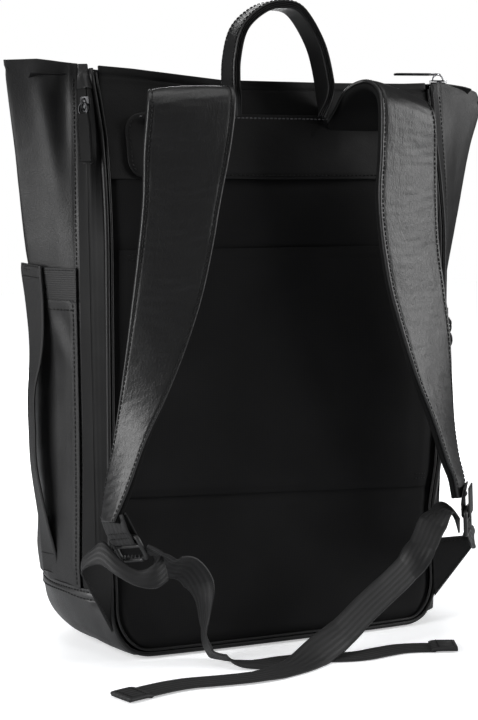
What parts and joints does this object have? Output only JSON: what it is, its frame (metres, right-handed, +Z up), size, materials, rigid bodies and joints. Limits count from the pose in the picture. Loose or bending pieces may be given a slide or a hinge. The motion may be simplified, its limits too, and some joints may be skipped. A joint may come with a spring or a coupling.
{
  "type": "backpack",
  "caption": "Leather zip-top commuter backpack with padded back, yoke, carry loop, contoured shoulder straps, webbing adjusters and side pockets.",
  "frame": {"origin": "on the floor under the middle of the bag, on the base's underside", "axes": "+Z up, -Y towards the wearer's back (the harness side), +X to the right when looking at the harness side"},
  "size_m": [0.426, 0.2483, 0.513],
  "materials": {
    "leather_panels": "satin, fine grain",
    "leather_straps": "satin, fine grain, stitched edges",
    "back_fabric": "matte knit over foam",
    "strap_lining": "matte mesh over foam",
    "piping_leather": "satin",
    "zip_tape": "rubbery film",
    "zip_metal": "dark gunmetal",
    "webbing": "ribbed weave",
    "lock_plastic": "moulded",
    "board": "plain sheet",
    "lining": "woven lining over foam"
  },
  "bodies": {
    "root": {"top_back_panel": "leather_panels", "yoke": "leather_panels", "front_panel": "leather_panels", "gusset_left": "leather_panels", "gusset_right": "leather_panels", "side_strip_right": "leather_panels", "base_boot": "leather_panels", "side_pocket_left": "leather_panels", "side_pocket_right": "leather_panels", "wing_tab_left": "leather_panels", "wing_tab_right": "leather_panels", "handle_anchor": "leather_panels", "back_panel": "back_fabric", "luggage_sleeve": "back_fabric", "piping": "piping_leather", "zip_strip_left": "zip_tape", "top_zip_tape": "zip_tape", "left_zip_chain": "zip_tape", "right_zip_chain": "zip_tape", "top_zip_chain": "zip_metal", "pocket_trim": "webbing", "side_handle": "webbing", "tail_left": "webbing", "tail_right": "webbing", "tail_end_left": "webbing", "tail_end_right": "webbing", "back_board": "board", "base_board": "board", "laptop_divider": "lining"},
    "strap_left": {"strap_left_face": "leather_straps", "strap_left_pad": "strap_lining", "keeper_left": "webbing", "ladder_lock_left": "lock_plastic", "adjuster_left": "webbing"},
    "strap_right": {"strap_right_face": "leather_straps", "strap_right_pad": "strap_lining", "keeper_right": "webbing", "ladder_lock_right": "lock_plastic", "adjuster_right": "webbing"},
    "carry_handle": {"carry_handle": "leather_straps"},
    "top_slider": {"top_slider": "zip_metal"},
    "top_pull": {"top_pull": "zip_metal"},
    "left_slider": {"left_slider": "zip_metal"},
    "left_pull": {"left_pull": "zip_metal"},
    "right_slider": {"right_slider": "zip_metal"},
    "right_pull": {"right_pull": "zip_metal"}
  },
  "joints": [
    {"name": "strap_left_swing", "type": "hinge", "parent": "root", "child": "strap_left", "pos_m": [-0.089, -0.062, 0.404], "axis": [-1, 0, 0], "range_deg": [0, 10]},
    {"name": "strap_right_swing", "type": "hinge", "parent": "root", "child": "strap_right", "pos_m": [0.089, -0.062, 0.404], "axis": [-1, 0, 0], "range_deg": [0, 10]},
    {"name": "carry_handle_tilt", "type": "hinge", "parent": "root", "child": "carry_handle", "pos_m": [0, -0.0633, 0.425], "axis": [1, 0, 0], "range_deg": [-10, 70]},
    {"name": "top_zip_slide", "type": "slide", "parent": "root", "child": "top_slider", "axis": [-1, 0, 0], "range_m": [0, 0.335]},
    {"name": "top_pull_swing", "type": "hinge", "parent": "top_slider", "child": "top_pull", "pos_m": [0.168, -0.0215, 0.46065], "axis": [0, 1, 0], "range_deg": [0, 150]},
    {"name": "left_zip_slide", "type": "slide", "parent": "root", "child": "left_slider", "axis": [0.01, -0.0112, -0.9999], "range_m": [0, 0.355]},
    {"name": "left_pull_swing", "type": "hinge", "parent": "left_slider", "child": "left_pull", "pos_m": [-0.16396, -0.0589, 0.428], "axis": [-0.6197, 0.7847, -0.015], "range_deg": [0, 120]},
    {"name": "right_zip_slide", "type": "slide", "parent": "root", "child": "right_slider", "axis": [-0.0507, 0.035, -0.9981], "range_m": [0, 0.16]},
    {"name": "right_pull_swing", "type": "hinge", "parent": "right_slider", "child": "right_pull", "pos_m": [0.19662, -0.00835, 0.2457], "axis": [0, -0.9994, -0.0351], "range_deg": [0, 120]}
  ]
}
